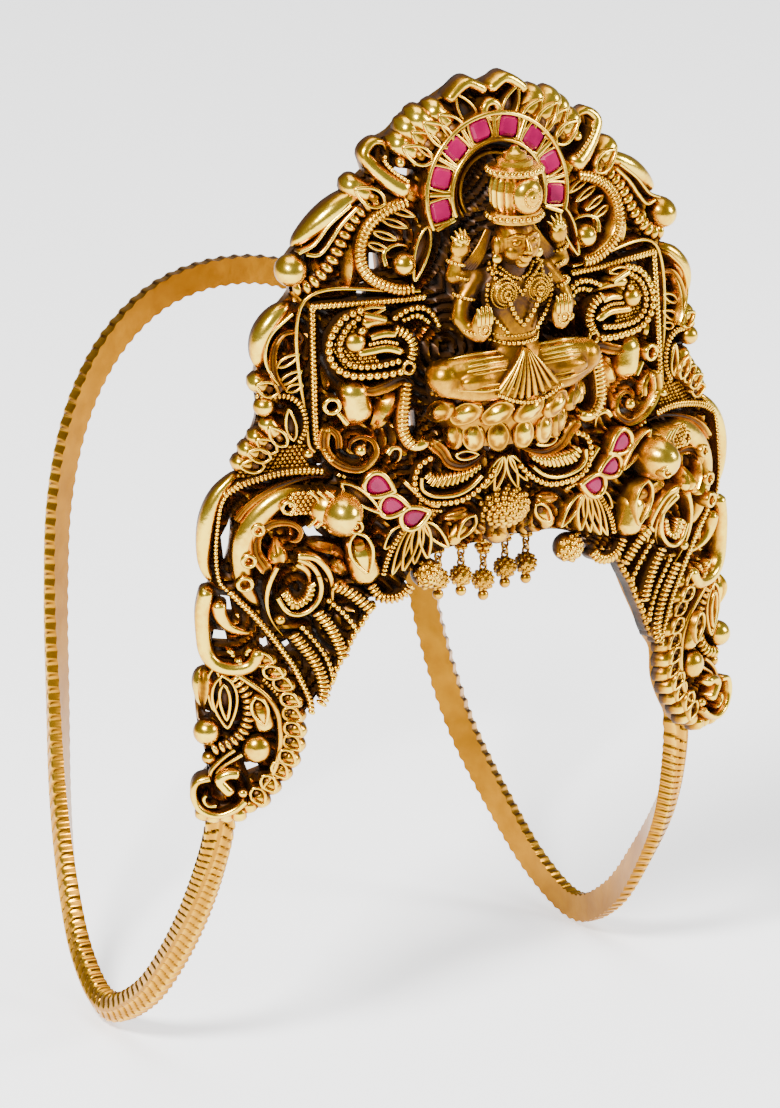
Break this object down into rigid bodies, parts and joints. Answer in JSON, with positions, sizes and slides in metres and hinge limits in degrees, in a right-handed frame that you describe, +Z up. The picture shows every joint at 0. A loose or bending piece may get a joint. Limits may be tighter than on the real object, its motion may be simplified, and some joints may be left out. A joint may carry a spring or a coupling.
{
  "type": "bajuband armlet",
  "caption": "Upper-arm ornament: a tall pierced gold-finish plaque with a seated deity, lions and peacocks in relief, red stones and hanging drops, on a ribbed wave-shaped band.",
  "frame": {"origin": "on the axis of the upper arm, level with the tips of the plaque's legs; X to the right of a viewer in front, Y to the back, Z up the arm", "axes": "Z runs up the arm, -Y is the plaque's side"},
  "size_m": [0.09, 0.0901, 0.1433],
  "materials": {
    "antique_gold": "polished high points over dark antique recesses",
    "band_gold": "satin gold",
    "red_stone": "polished facets"
  },
  "bodies": {
    "root": {"arm_band": "band_gold", "band_pin_left": "band_gold", "band_pin_right": "band_gold", "deity_figure": "antique_gold", "drop_1": "antique_gold", "drop_2": "antique_gold", "drop_3": "antique_gold", "drop_4": "antique_gold", "drop_5": "antique_gold", "drop_link_1": "antique_gold", "drop_link_2": "antique_gold", "drop_link_3": "antique_gold", "drop_link_4": "antique_gold", "drop_link_5": "antique_gold", "halo_stone_1": "red_stone", "halo_stone_2": "red_stone", "halo_stone_3": "red_stone", "halo_stone_4": "red_stone", "halo_stone_5": "red_stone", "halo_stone_6": "red_stone", "halo_stone_7": "red_stone", "halo_stone_8": "red_stone", "pear_stone_1": "red_stone", "pear_stone_2": "red_stone", "pear_stone_3": "red_stone", "pear_stone_4": "red_stone", "pear_stone_5": "red_stone", "pear_stone_6": "red_stone", "plaque": "antique_gold"}
  },
  "joints": []
}
